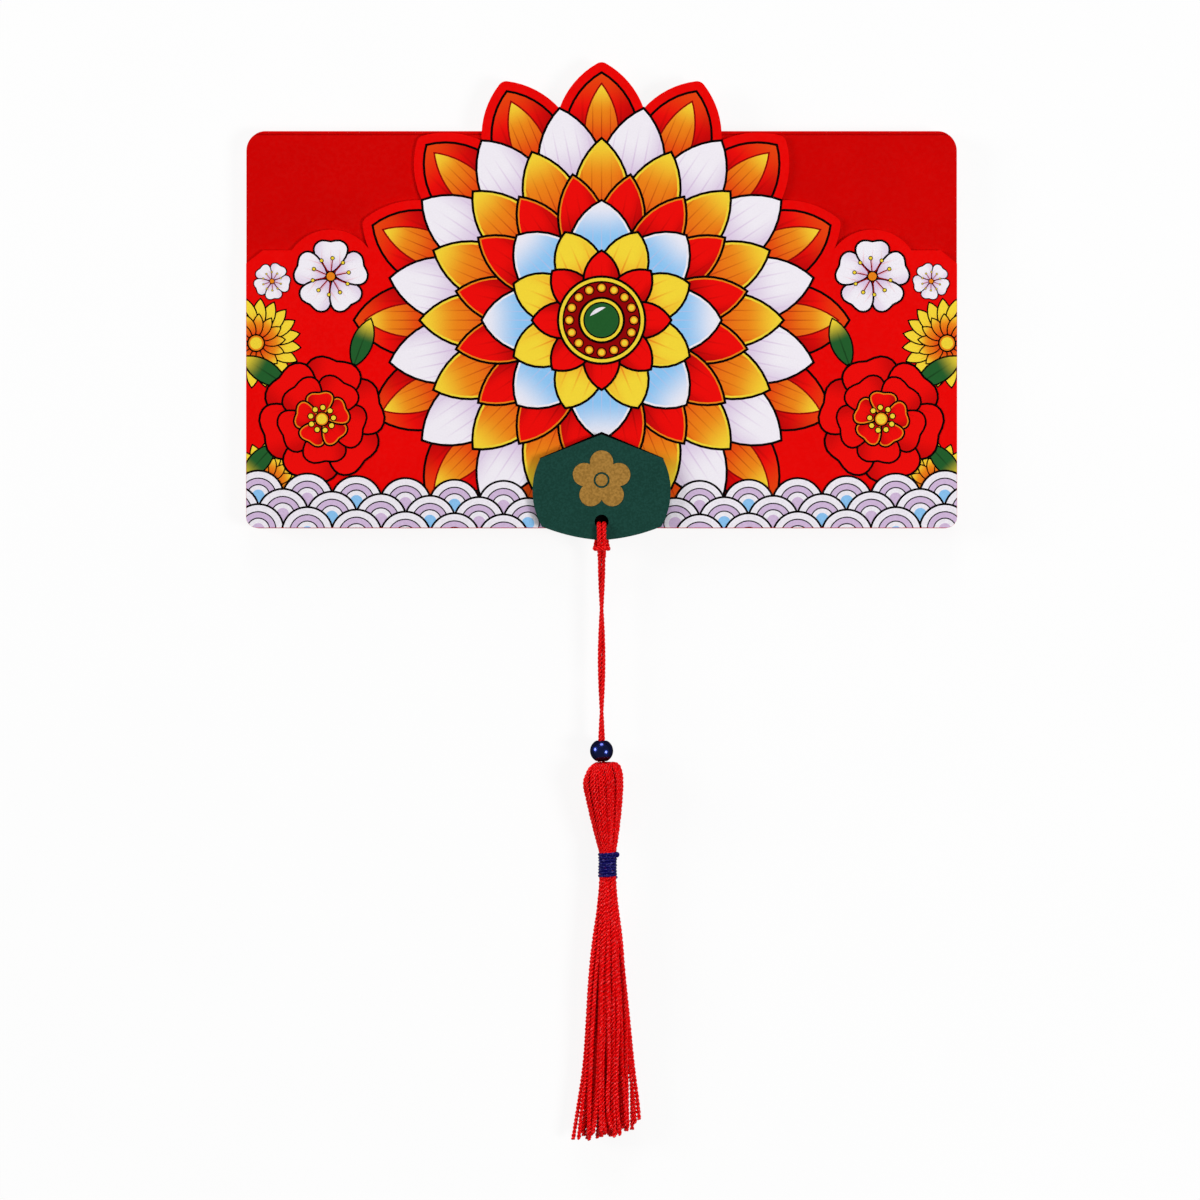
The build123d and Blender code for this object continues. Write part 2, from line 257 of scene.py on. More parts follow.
def build_card_grain(tree, given, result):
    """Flecks and cloudy tone of card stock."""
    place = tree.coords("Object")
    tree.feed(result["Cloud"], tree.noise(place, tree.math("MULTIPLY", given["Scale"], 0.06), 4.0))
    tree.feed(result["Height"], tree.noise(place, given["Scale"], 5.0))


def build_cut_edge(tree, given, result):
    """Mask of the faces that a die has cut, found by the way they point."""
    facing = tree.node("VectorMath", {0: tree.coords("Normal")}, operation="ABSOLUTE").outputs[0]
    along = tree.node("VectorMath", {0: facing, 1: given["Sides"]}, operation="DOT_PRODUCT").outputs["Value"]
    tree.feed(result["Mask"], tree.smooth(along, 0.75, 0.95))


def build_yarn_twist(tree, given, result):
    """Plies that run round a thread, from the thread's own map: across it, then along it."""
    around, along, _ = tree.parts(tree.coords("UV"))
    turn = tree.math("ADD", tree.math("MULTIPLY", along, given["Turns"]), tree.math("MULTIPLY", around, 2.0))
    ridge = tree.math("ABSOLUTE", tree.math("SINE", tree.math("MULTIPLY", turn, math.pi)))
    place = tree.node("Mapping", {"Vector": tree.coords("Object"), "Scale": (1.0, 0.4, 1.0)}).outputs[0]
    height = tree.math("ADD", ridge, tree.math("MULTIPLY", tree.noise(place, 9000.0, 2.0), 0.35))
    tree.feed(result["Height"], height)
    tree.feed(result["Ridge"], tree.smooth(height, 0.15, 0.95))


def build_petal_ink(tree, given, result):
    """Petal printed from its foot to its tip, with veins and one shaded side."""
    across, along, _ = tree.parts(tree.coords("UV"))
    body = tree.mix(tree.smooth(along, 0.05, 0.6), given["Foot"], given["Middle"])
    body = tree.mix(tree.smooth(along, 0.5, 1.0), body, given["Tip"])
    fan = tree.math("MULTIPLY", across, given["Veins"])
    stripe = tree.math("ABSOLUTE", tree.math("SINE", tree.math("MULTIPLY", fan, math.pi)))
    line = tree.math("SUBTRACT", 1.0, tree.smooth(stripe, 0.06, 0.3))
    reach = tree.math("SUBTRACT", 1.0, tree.smooth(along, 0.25, 0.82))
    line = tree.math("MULTIPLY", tree.math("MULTIPLY", line, reach), given["Vein strength"])
    body = tree.mix(line, body, given["Vein"])
    side = tree.math("MULTIPLY", tree.smooth(across, 0.15, 0.95), given["Shade"])
    body = tree.mix(side, body, given["Foot"])
    speck = tree.math("SUBTRACT", tree.noise(tree.coords("Object"), 2600.0, 2.0), 0.5)
    level = tree.math("MULTIPLY_ADD", speck, 0.1, 1.0)
    tone = tree.node("CombineXYZ", {0: level, 1: level, 2: level}).outputs[0]
    tree.feed(result["Color"], tree.mix(1.0, body, tone, "MULTIPLY"))


# Shared groups: how each is built, and its inputs and outputs with a value of their kind
WHITE = (1.0, 1.0, 1.0, 1.0)
PETAL_COLOURS = ("Foot", "Middle", "Tip", "Vein")
PETAL_AMOUNTS = ("Veins", "Vein strength", "Shade")
GROUPS = {
    "card_grain": (build_card_grain, {"Scale": 1200.0}, {"Cloud": 0.0, "Height": 0.0}),
    "cut_edge": (build_cut_edge, {"Sides": (1, 0, 0)}, {"Mask": 0.0}),
    "yarn_twist": (build_yarn_twist, {"Turns": 30.0}, {"Height": 0.0, "Ridge": 0.0}),
    "petal_ink": (
        build_petal_ink,
        {**dict.fromkeys(PETAL_COLOURS, WHITE), **dict.fromkeys(PETAL_AMOUNTS, 0.5)},
        {"Color": WHITE},
    ),
}


def shared_group(name):
    """Node group of that name, built on its first use."""
    group = bpy.data.node_groups.get(name)
    if group is None:
        build, inputs, outputs = GROUPS[name]
        group = bpy.data.node_groups.new(name, "ShaderNodeTree")
        for side, sockets in (("INPUT", inputs), ("OUTPUT", outputs)):
            for label, value in sockets.items():
                kind = "Float" if isinstance(value, float) else ("Vector" if len(value) == 3 else "Color")
                group.interface.new_socket(label, in_out=side, socket_type="NodeSocket" + kind)
        entry = group.nodes.new("NodeGroupInput")
        build(Tree(group), entry.outputs, group.nodes.new("NodeGroupOutput").inputs)
    return group


def new_material(name, **values):
    """Material with a Principled shader and the values of its plain sockets, and its Tree."""
    material = bpy.data.materials.new(name)
    material.use_nodes = True
    tree = Tree(material.node_tree)
    for key, value in values.items():
        tree.drive(key.replace("_", " ").title().replace("Ior", "IOR"), value)
    return material, tree


def card_material(name, colour, core, sides, grain, roughness, fibre=0.003):
    """Printed or dyed card: cloudy tone, flecks and a pale core at the cut edges."""
    material, tree = new_material(name, specular_ior_level=0.015)
    fibres = tree.group("card_grain", {"Scale": grain})
    edge = tree.group("cut_edge", {"Sides": sides})["Mask"]
    tone = tree.mix(tree.smooth(fibres["Cloud"], 0.3, 0.7), linear(colour, 0.95), linear(colour))
    fine = tree.smooth(fibres["Height"], 0.38, 0.66)
    tone = tree.mix(tree.math("MULTIPLY", fine, fibre), tone, linear(core))
    tree.drive("Base Color", tree.mix(tree.math("MULTIPLY", edge, 0.8), tone, linear(core)))
    tree.drive("Roughness", tree.math("MULTIPLY_ADD", fine, 0.14, roughness))
    tree.relief(fibres["Height"], 0.08, 0.00003)
    return material


def foam_material(name):
    """White adhesive foam with open cells."""
    material, tree = new_material(name, roughness=0.9)
    cells = tree.node("TexVoronoi", {"Vector": tree.coords("Object"), "Scale": 2600.0}).outputs["Distance"]
    pale, dark = linear((0.97, 0.97, 0.95)), linear((0.82, 0.82, 0.79))
    tree.drive("Base Color", tree.mix(tree.smooth(cells, 0.05, 0.5), pale, dark))
    tree.relief(cells, 0.5, 0.0001)
    return material


def foil_material(name, colour):
    """Hot-stamped gold foil, mottled by the felt of the card below it."""
    material, tree = new_material(name)
    blotch = tree.mottle(1900.0, 4.0, 0.35, 0.65)
    tree.drive("Base Color", tree.mix(blotch, linear(colour, 0.87), linear(colour)))
    tree.drive("Roughness", tree.math("MULTIPLY_ADD", blotch, 0.12, 0.5))
    tree.drive("Metallic", tree.math("MULTIPLY_ADD", blotch, -0.25, 0.7))
    tree.relief(tree.group("card_grain", {"Scale": 1500.0})["Height"], 0.35, 0.00008)
    return material


def flat_ink(name, colour):
    """One ink laid flat, with the fine speckle of offset print."""
    material, tree = new_material(name, roughness=0.52, specular_ior_level=0.015)
    tree.drive("Base Color", tree.mix(tree.mottle(2600.0, 2.0), linear(colour, 0.9), linear(colour)))
    return material


def petal_material(name, colours, amounts):
    """Ink of a petal that changes from its foot to its tip."""
    material, tree = new_material(name, roughness=0.52, specular_ior_level=0.015)
    inputs = dict(zip(PETAL_COLOURS, map(linear, colours)))
    inputs.update(zip(PETAL_AMOUNTS, amounts))
    tree.drive("Base Color", tree.group("petal_ink", inputs)["Color"])
    return material


def thread_material(name, colour, turns, roughness, glint):
    """Lustrous twisted thread, darker between its fibres as painted shade, and with small painted glints on
    their crests.
    """
    lustre = linear(min(1.0, 0.3 + c) for c in colour)
    material, tree = new_material(name, specular_ior_level=1.0, specular_tint=lustre)
    twist = tree.group("yarn_twist", {"Turns": turns})
    # Painted shade: darker colour between the ridges of the twist, where the plies meet.
    tone = tree.mix(twist["Ridge"], linear(colour, 0.88), linear(colour))
    # Painted glints: a paler colour in flecks along the twist's crests.
    fleck = tree.mottle(1700.0, 1.0, 0.57, 0.64)
    crest = tree.smooth(twist["Height"], 1.0, 1.2)
    painted_glint = tree.math("MULTIPLY", tree.math("MULTIPLY", fleck, crest), glint)
    tree.drive("Base Color", tree.mix(painted_glint, tone, linear(min(1.0, 0.5 + c) for c in colour)))
    tree.drive("Roughness", tree.math("MULTIPLY_ADD", fleck, -0.08, roughness))
    tree.relief(twist["Height"], 0.4, 0.00006)
    return material


def shade_material(name, colour):
    """Darkened copy of a thread's colour for the heart inside it, which shows between its plies as painted
    shade, made on its first use.
    """
    if name in bpy.data.materials:
        return bpy.data.materials[name]
    material, tree = new_material(name, roughness=0.9, specular_ior_level=0.1)
    dim = [0.82 * c for c in colour]
    tree.drive("Base Color", tree.mix(tree.mottle(3000.0, 2.0), linear(dim, 0.75), linear(dim)))
    return material


def bead_material(name, colour):
    """Dark metallic lacquer under a clear coat."""
    tint = linear(min(1.0, 1.4 * c) for c in colour)
    material, tree = new_material(
        name, metallic=1.0, specular_tint=tint, coat_weight=0.5, coat_roughness=0.12
    )
    cloud = tree.mottle(500.0, 3.0)
    tree.drive("Base Color", tree.mix(cloud, linear(colour), linear(colour, 1.3)))
    tree.drive("Roughness", tree.math("MULTIPLY_ADD", cloud, 0.05, 0.2))
    return material


def floor_material(name):
    """White floor that keeps the object's shadow."""
    material, tree = new_material(name, roughness=0.9)
    shade = tree.mottle(30.0, 2.0, 0.2, 0.8)
    tree.drive("Base Color", tree.mix(shade, linear((0.96, 0.96, 0.96)), linear((0.975, 0.975, 0.975))))
    path = tree.node("LightPath").outputs
    seen = tree.math("MAXIMUM", path["Is Camera Ray"], path["Is Transmission Ray"])
    white = tree.node("Emission", {"Color": WHITE, "Strength": 1.0}).outputs[0]
    glow = {0: tree.math("MULTIPLY", seen, 0.88), 1: tree.shader.outputs[0], 2: white}
    lit = tree.node("MixShader", glow).outputs[0]
    # Reflections see it dimmed, as if black flags stood round the object.
    black = tree.node("Emission", {"Color": (0, 0, 0, 1), "Strength": 0.0}).outputs[0]
    flags = {0: tree.math("MULTIPLY", path["Is Glossy Ray"], 0.85), 1: lit, 2: black}
    flagged = tree.node("MixShader", flags).outputs[0]
    tree.feed(material.node_tree.nodes["Material Output"].inputs["Surface"], flagged)
    return material


def dress(node, material):
    """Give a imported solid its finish."""
    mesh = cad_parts[node].data
    mesh.materials.clear()
    mesh.materials.append(material)


def add_piece(name, mesh, materials, body):
    """Object at the origin that carries a finished mesh and rides on a body, if one is named."""
    piece = bpy.data.objects.new(name, mesh)
    for material in materials:
        mesh.materials.append(material)
    bpy.context.scene.collection.objects.link(piece)
    if body:
        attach(piece, body)
    return piece


def finished(work, name):
    """Mesh of that name from a finished bmesh."""
    mesh = bpy.data.meshes.new(name)
    work.to_mesh(mesh)
    work.free()
    return mesh


def arc_through(start, middle, end, steps=9):
    """Points along the arc through three points, without its last one."""
    (ax, ay), (bx, by), (cx, cy) = start, middle, end
    a, b, c = ax**2 + ay**2, bx**2 + by**2, cx**2 + cy**2
    twice = 2 * (ax * (by - cy) + bx * (cy - ay) + cx * (ay - by))
    x = (a * (by - cy) + b * (cy - ay) + c * (ay - by)) / twice
    y = (a * (cx - bx) + b * (ax - cx) + c * (bx - ax)) / twice
    radius = math.hypot(ax - x, ay - y)
    first = math.atan2(ay - y, ax - x)
    sweep = math.remainder(math.atan2(cy - y, cx - x) - first, FULL_TURN)
    angles = [first + sweep * step / steps for step in range(steps)]
    return [(x + radius * math.cos(angle), y + radius * math.sin(angle)) for angle in angles]


def pointed_petal(foot, foot_width, swell, swell_width, tip):
    """Outline of a pointed petal that grows up the Y axis."""
    right = arc_through((foot_width / 2, foot), (swell_width / 2, swell), (0, tip))
    left = arc_through((0, tip), (-swell_width / 2, swell), (-foot_width / 2, foot))
    return [*right, *left, (-foot_width / 2, foot)]


def round_petal(foot, tip, width, notch=0.0, steps=30):
    """Outline of a rounded petal up the Y axis, with a notch in its tip where one is given."""
    outline = []
    for step in range(steps):
        turn = FULL_TURN * step / steps
        rise = (1 - math.cos(turn)) / 2
        x = width / 2 * math.sin(turn) * (0.5 + 0.75 * rise)
        dip = notch * math.exp(-((x / (0.16 * width)) ** 2)) if rise > 0.5 else 0.0
        outline.append((x, foot + (tip - foot) * rise - dip))
    return outline


# Inks that change along a petal: foot, middle, tip and vein, then vein count, vein strength and side shade
PETAL_INKS = {
    "flame_petal": ("deep_red", "red", "flame", "black", 2.0, 0.25, 0.55),
    "flame_tongue": ("flame", "amber", "yellow", "deep_red", 2.0, 0.6, 0.35),
    "pale_petal": ("lilac", "white", "white", "lilac", 3.0, 0.8, 0.75),
    "amber_petal": ("flame", "amber", "yellow", "deep_red", 3.0, 0.55, 0.45),
    "crimson_petal": ("deep_red", "red", "red", "black", 2.0, 0.35, 0.7),
    "sky_petal": ("blue", "blue", "white", "lilac", 4.0, 0.7, 0.45),
    "gold_petal": ("amber", "yellow", "yellow", "flame", 2.0, 0.6, 0.4),
    "camellia_petal": ("deep_red", "red", "red", "deep_red", 3.0, 0.6, 0.5),
    "plum_petal": ("lilac", "white", "white", "red", 2.0, 0.35, 0.55),
    "leaf_blade": ("green", "green", "yellow", "black", 1.0, 0.5, 0.35),
}


def ink_material(name, inks):
    """Ink by its name, made on its first use: flat, or changing along a petal."""
    title = name + "_ink"
    if title in bpy.data.materials:
        return bpy.data.materials[title]
    if name not in PETAL_INKS:
        return flat_ink(title, getattr(inks, name))
    *colours, veins, strength, shade = PETAL_INKS[name]
    return petal_material(title, [getattr(inks, each) for each in colours], (veins, strength, shade))


def corners_of(faces):
    """Vertices of some faces."""
    return list({vert for face in faces for vert in face.verts})


class Sheet:
    """Flat print in the making: its mesh in millimetres and the inks that it uses."""

    def __init__(self):
        self.mesh = bmesh.new()
        self.map = self.mesh.loops.layers.uv.new("UVMap")
        self.inks = []

    def ink(self, name):
        """Number of an ink on this sheet."""
        if name not in self.inks:
            self.inks.append(name)
        return self.inks.index(name)

    def stamp(self, outline, bands, fill, rise=0.0):
        """Print one closed outline."""
        middle = self.mesh.faces.new([self.mesh.verts.new((x, y, rise)) for x, y in outline])
        return self.coloured(middle, bands, fill)

    def dot(self, radius, bands, fill, rise=0.0, at=(0.0, 0.0), steps=24):
        """Print one round dot."""
        level = Matrix.Translation((0, 0, rise))
        made = bmesh.ops.create_circle(
            self.mesh, cap_ends=True, segments=steps, radius=radius, matrix=level
        )
        shape = self.coloured(made["verts"][0].link_faces[0], bands, fill)
        bmesh.ops.translate(self.mesh, vec=(*at, 0.0), verts=corners_of(shape))

    def dots(self, count, reach, radius, bands, fill, rise, steps, start=0.0):
        """Print dots in a ring round the origin."""
        for number in range(count):
            angle = FULL_TURN * number / count + start
            place = (reach * math.cos(angle), reach * math.sin(angle))
            self.dot(radius, bands, fill, rise, place, steps)

    def coloured(self, middle, bands, fill):
        """Colour and map one face: bands of ink from its edge inwards, then its fill."""
        middle.normal_update()
        outline = [vert.co.copy() for vert in middle.verts]
        shape = [middle]
        for width, ink in bands:
            ring = bmesh.ops.inset_region(
                self.mesh, faces=[middle], thickness=width, use_boundary=True, use_even_offset=True
            )["faces"]
            for face in ring:
                face.material_index = self.ink(ink)
            shape += ring
        middle.material_index = self.ink(fill)
        half = max(corner.x for corner in outline)
        foot = min(corner.y for corner in outline)
        height = max(corner.y for corner in outline) - foot
        for face in shape:
            for loop in face.loops:
                x, y, _ = loop.vert.co
                loop[self.map].uv = (x / half, (y - foot) / height)
        return shape

    def ring(self, outline, count, bands, fill, rise=0.0, start=0.0, tilt=0.0011):
        """Print a shape round the origin, each one tucked under its neighbour."""
        shape = self.stamp(outline, bands, fill, rise)
        corners = corners_of(shape)
        edges = list({edge for face in shape for edge in face.edges})
        turn = Matrix.Rotation(start, 3, "Z") @ Matrix.Rotation(tilt, 3, "Y")
        bmesh.ops.rotate(self.mesh, verts=corners, cent=(0, 0, rise), matrix=turn)
        bmesh.ops.spin(
            self.mesh,
            geom=[*shape, *edges, *corners],
            cent=(0, 0, 0),
            axis=(0, 0, 1),
            dvec=(0, 0, 0),
            angle=FULL_TURN * (count - 1) / count,
            steps=count - 1,
            use_duplicate=True,
        )

    def placed(self, draw, x, y, turn=0.0, size=1.0, mirrored=False):
        """Draw something round the origin, then bring it to its place."""
        before = set(self.mesh.verts)
        draw(self)
        new = [vert for vert in self.mesh.verts if vert not in before]
        flip = Matrix.Diagonal((-1.0 if mirrored else 1.0, 1.0, 1.0, 1.0))
        grow = Matrix.Diagonal((size, size, 1.0, 1.0))
        move = flip @ Matrix.Translation((x, y, 0)) @ Matrix.Rotation(turn, 4, "Z") @ grow
        bmesh.ops.transform(self.mesh, matrix=move, verts=new)

    def trim(self, corner, normal):
        """Cut off what lies beyond a line."""
        geom = [*self.mesh.verts, *self.mesh.edges, *self.mesh.faces]
        bmesh.ops.bisect_plane(self.mesh, geom=geom, plane_co=corner, plane_no=normal, clear_outer=True)

    def trim_to_card(self, corner_radius=2.8, inset=0.08):
        """Cut off what lies beyond the card's sides, its bottom edge and its rounded lower corners."""
        self.trim((0, CARD_LOW.y + inset, 0), (0, -1, 0))
        for side in (-1, 1):
            self.trim((side * (CARD_HIGH.x - inset), 0, 0), (side, 0, 0))
            middle = Vector((side * (CARD_HIGH.x - corner_radius), CARD_LOW.y + corner_radius, 0))
            for degrees in (22.5, 45.0, 67.5):
                angle = math.radians(degrees)
                out = Vector((side * math.cos(angle), -math.sin(angle), 0))
                self.trim(middle + out * (corner_radius - inset), out)

    def finish(self, name, level, look):
        """Bring the print to its height, give its ink a thickness and let it ride."""
        height = FRONT_TOP + level * look.layer / MM
        bmesh.ops.translate(self.mesh, vec=(0, 0, height), verts=self.mesh.verts)
        bmesh.ops.scale(self.mesh, vec=(MM, MM, MM), verts=self.mesh.verts)
        self.mesh.normal_update()
        under = [face for face in self.mesh.faces if face.normal.z < 0]
        bmesh.ops.reverse_faces(self.mesh, faces=under)
        inks = [ink_material(ink, look) for ink in self.inks]
        piece = add_piece(name, finished(self.mesh, name), inks, "cover")
        film = piece.modifiers.new("ink_film", "SOLIDIFY")
        film.thickness = look.film
        film.offset = -1


def curve_mesh(lines, kind, detail, radius=0.0, ring=0):
    """Mesh of curves along some lines, as round tubes where a radius is given."""
    curve = bpy.data.curves.new("route", "CURVE")
    curve.dimensions = "3D"
    curve.bevel_depth = radius
    curve.bevel_resolution = ring
    curve.resolution_u = detail
    curve.use_fill_caps = True
    for line in lines:
        spline = curve.splines.new(kind)
        spline.points.add(len(line) - 1)
        for point, place in zip(spline.points, line):
            point.co = (*place, 1.0)
        if kind == "NURBS":
            spline.order_u = 3
            spline.use_endpoint_u = True
    holder = bpy.data.objects.new("route", curve)
    mesh = bpy.data.meshes.new_from_object(holder)
    bpy.data.objects.remove(holder)
    bpy.data.curves.remove(curve)
    return mesh


def route_line(points, detail):
    """Points read from a cord's own smooth route, in millimetres."""
    mesh = curve_mesh([points], "NURBS", detail)
    line = [vert.co.copy() for vert in mesh.vertices]
    bpy.data.meshes.remove(mesh)
    return line


def wound_line(line, offset, pitch, phase):
    """Line that winds round another at an offset, one turn in each pitch."""
    side = Vector((1.0, 0.0, 0.0))
    travelled = 0.0
    wound = []
    for index, here in enumerate(line):
        ahead = line[min(index + 1, len(line) - 1)] - line[max(index - 1, 0)]
        ahead.normalize()
        side = (side - ahead * side.dot(ahead)).normalized()
        turn = phase + FULL_TURN * travelled / pitch
        wound.append(here + offset * (side * math.cos(turn) + ahead.cross(side) * math.sin(turn)))
        if index + 1 < len(line):
            travelled += (line[index + 1] - here).length
    return wound


def plied(points, width, pitch, detail, phase=0.0):
    """Two plies that wind round each other along a smooth route, for a thread of that width."""
    line = route_line(points, detail)
    return [wound_line(line, 0.27 * width, pitch, phase + turn) for turn in (0.0, math.pi)]


def yarn_layers(plies, shade_hearts, width):
    """Layers of tubes for plied yarn of that width: its plies, and the hearts that show between them as
    painted shade.
    """
    return [(plies, 0.26 * width), (shade_hearts, 0.3 * width)]


def tube_mesh(name, layers, kind="POLY", ring=1, detail=4):
    """Closed round tubes along lines in millimetres: each layer has its lines and a radius in metres."""
    work = bmesh.new()
    for number, (lines, radius) in enumerate(layers):
        scaled = [[[MM * part for part in place] for place in line] for line in lines]
        tubes = curve_mesh(scaled, kind, detail, radius, ring)
        before = len(work.faces)
        work.from_mesh(tubes)
        work.faces.ensure_lookup_table()
        for face in work.faces[before:]:
            face.material_index = number
            face.smooth = True
        bpy.data.meshes.remove(tubes)
    bmesh.ops.remove_doubles(work, verts=work.verts, dist=1e-7)
    bmesh.ops.recalc_face_normals(work, faces=work.faces)
    return finished(work, name)


def between(table, place):
    """Value at a place in a table of places and values, on straight lines between them."""
    for (low, first), (high, second) in zip(table, table[1:]):
        if place <= high:
            return first + (second - first) * max(0.0, place - low) / (high - low)
    return table[-1][1]


class ENVELOPE_OT_card(bpy.types.Operator):
    """Give the leaves, flaps, front, foam pad, tag and foil their finishes"""

    bl_idname = "envelope.card"
    bl_label = "Card and tag finishes"

    def execute(self, context):
        look = context.scene.envelope_card
        leaf = card_material("leaf_card", look.leaf, look.core, (1.0, 0.0, 0.0), 1300.0, 0.46)
        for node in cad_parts:
            if node.endswith("_leaf") or node.startswith("slot_leaf") or node.endswith("_flap"):
                dress(node, leaf)
        all_round = (1.0, 1.0, 0.0)
        dress("crest_front", card_material("front_card", look.front, look.core, all_round, 1300.0, 0.46))
        tag_core = (0.25, 0.5, 0.46)
        dress("pull_tag", card_material("tag_card", look.tag, tag_core, all_round, 2100.0, 0.62, 0.09))
        dress("tag_pad", foam_material("tag_foam"))
        dress("foil_emblem", foil_material("gold_foil", look.foil))
        return {"FINISHED"}


class ENVELOPE_OT_flower(bpy.types.Operator):
    """Print the large flower whose upper petals make the crest"""

    bl_idname = "envelope.flower"
    bl_label = "Flower print"

    def execute(self, context):
        look = context.scene.envelope_print
        edge = (look.outline / MM, "black")
        yellow_rim = [edge, (0.5, "yellow")]
        amber_rim = [edge, (0.35, "amber")]
        step = FULL_TURN / look.petals
        # Each ring: name, share of the petals, turn in petals, sizes of one petal, bands of ink and fill
        rings = (
            ("outer_petals", 1.0, 0.0, (43.0, 18.6, 55.5, 14.0, 62.4), [edge], "flame_petal"),
            ("outer_tongues", 1.0, 0.0, (44.0, 8.5, 53.0, 7.0, 59.6), [(0.4, "deep_red")], "flame_tongue"),
            ("pale_petals", 1.0, 0.5, (33.0, 15.5, 47.5, 12.4, 54.5), [edge], "pale_petal"),
            ("amber_petals", 1.0, 0.0, (25.0, 13.0, 39.5, 10.6, 46.0), yellow_rim, "amber_petal"),
            ("crimson_petals", 1.0, 0.5, (18.0, 10.5, 32.0, 8.8, 37.6), amber_rim, "crimson_petal"),
            ("sky_petals", 0.5, 0.0, (9.0, 13.0, 22.5, 15.2, 30.4), [edge, (0.5, "white")], "sky_petal"),
            ("gold_petals", 0.5, 1.0, (8.0, 9.0, 18.0, 11.2, 24.2), [edge, (0.4, "yellow")], "gold_petal"),
            ("inner_petals", 0.5, 0.0, (5.0, 7.0, 13.2, 8.4, 17.8), [edge], "crimson_petal"),
        )
        for level, (name, share, turn, sizes, bands, fill) in enumerate(rings, 1):
            petal = pointed_petal(*sizes)
            count = round(look.petals * share)
            start = turn * step
            sheet = Sheet()
            sheet.placed(lambda flower: flower.ring(petal, count, bands, fill, start=start), 0, FLOWER_Y)
            sheet.trim_to_card()
            sheet.finish(name, level, look)
        heart = Sheet()
        heart.placed(lambda flower: self.heart(flower, edge), 0, FLOWER_Y)
        heart.finish("flower_heart", 10.0, look)
        return {"FINISHED"}

    def heart(self, sheet, edge):
        """Gold boss with a ring of beads round a green stone."""
        sheet.dot(11.2, [edge, (0.8, "yellow"), (0.4, "black")], "deep_red", steps=64)
        sheet.dots(16, 8.1, 1.3, [(0.3, "black"), (0.3, "amber")], "yellow", 0.02, 20)
        sheet.dot(5.9, [edge, (0.7, "yellow"), (0.35, "black")], "green", 0.02, steps=48)
        glint = arc_through((-2.9, 1.0), (-1.5, 2.75), (1.0, 3.2), 8) + [(1.0, 3.2)]
        inner = arc_through((1.0, 3.2), (-0.9, 2.0), (-2.9, 1.0), 8)[1:]
        sheet.stamp([*reversed(glint + inner)], [], "white", 0.03)


class ENVELOPE_OT_blossoms(bpy.types.Operator):
    """Print the blossoms and leaves at both sides"""

    bl_idname = "envelope.blossoms"
    bl_label = "Side blossoms"

    # Place on the card's right side, turn and size of each
    chrysanthemums = ((86.5, -3.5, 0.1, 1.0), (84.0, -39.0, 0.3, 0.95))
    leaves = ((79.0, -14.0, -1.0, 0.9), (62.0, -9.0, 0.35, 0.85), (82.0, -29.0, -2.4, 0.8))
    camellias = ((70.0, -22.5, 0.25, 1.0),)
    plums = ((67.8, 13.2, 0.0, 1.0), (82.5, 12.0, 0.5, 0.5))

    def execute(self, context):
        look = context.scene.envelope_print
        # Each sheet: name, level of ink, what it draws and where
        for name, level, draw, places in (
            ("gold_chrysanthemums", 1.0, self.chrysanthemum, self.chrysanthemums),
            ("leaf_sprigs", 3.2, self.leaf, self.leaves),
            ("red_camellias", 4.2, self.camellia, self.camellias),
            ("plum_blossoms", 4.2, self.plum, self.plums),
        ):
            sheet = Sheet()
            for mirrored in (False, True):
                for place in places:
                    sheet.placed(draw, *place, mirrored)
            sheet.trim_to_card()
            sheet.finish(name, level, look)
        return {"FINISHED"}

    def chrysanthemum(self, sheet):
        """Flat gold chrysanthemum."""
        sheet.ring(pointed_petal(3.0, 1.2, 9.0, 3.2, 11.5), 20, [(0.35, "black")], "gold_petal")
        sheet.ring(pointed_petal(1.5, 0.8, 5.6, 2.6, 7.6), 14, [(0.32, "black")], "amber_petal", 0.015)
        sheet.dot(2.3, [(0.4, "black"), (0.4, "amber")], "yellow", 0.03)

    def leaf(self, sheet):
        """Pointed leaf."""
        sheet.stamp(pointed_petal(0.0, 1.6, 8.5, 6.4, 15.0), [(0.45, "black")], "leaf_blade")

    def camellia(self, sheet):
        """Round red camellia with gold stamens."""
        sheet.ring(round_petal(2.0, 16.2, 15.5, 1.0), 6, [(0.55, "black")], "camellia_petal", tilt=0.0009)
        sheet.ring(round_petal(1.0, 11.6, 12.0, 0.8), 5, [(0.5, "black")], "camellia_petal", 0.022, 0.3)
        heart = [(0.45, "black"), (0.3, "amber")]
        sheet.ring(round_petal(0.5, 7.4, 8.0, 0.5), 5, heart, "crimson_petal", 0.042, 0.9)
        sheet.dots(9, 2.9, 0.85, [(0.25, "black")], "yellow", 0.062, 16)
        sheet.dot(1.9, [(0.35, "black"), (0.3, "amber")], "yellow", 0.07, steps=20)

    def plum(self, sheet):
        """White plum blossom with red stamens."""
        sheet.ring(round_petal(0.8, 9.7, 9.6, 0.7), 5, [(0.5, "black")], "plum_petal", tilt=0.0012)
        filament = [(0.14, 1.0), (0.14, 4.3), (-0.14, 4.3), (-0.14, 1.0)]
        sheet.ring(filament, 10, [], "deep_red", 0.02, 0.1, 0.0)
        sheet.dots(10, 4.6, 0.55, [(0.18, "black")], "yellow", 0.028, 14, 0.1 + math.pi / 2)
        sheet.dot(1.35, [(0.3, "black")], "amber", 0.028, steps=20)


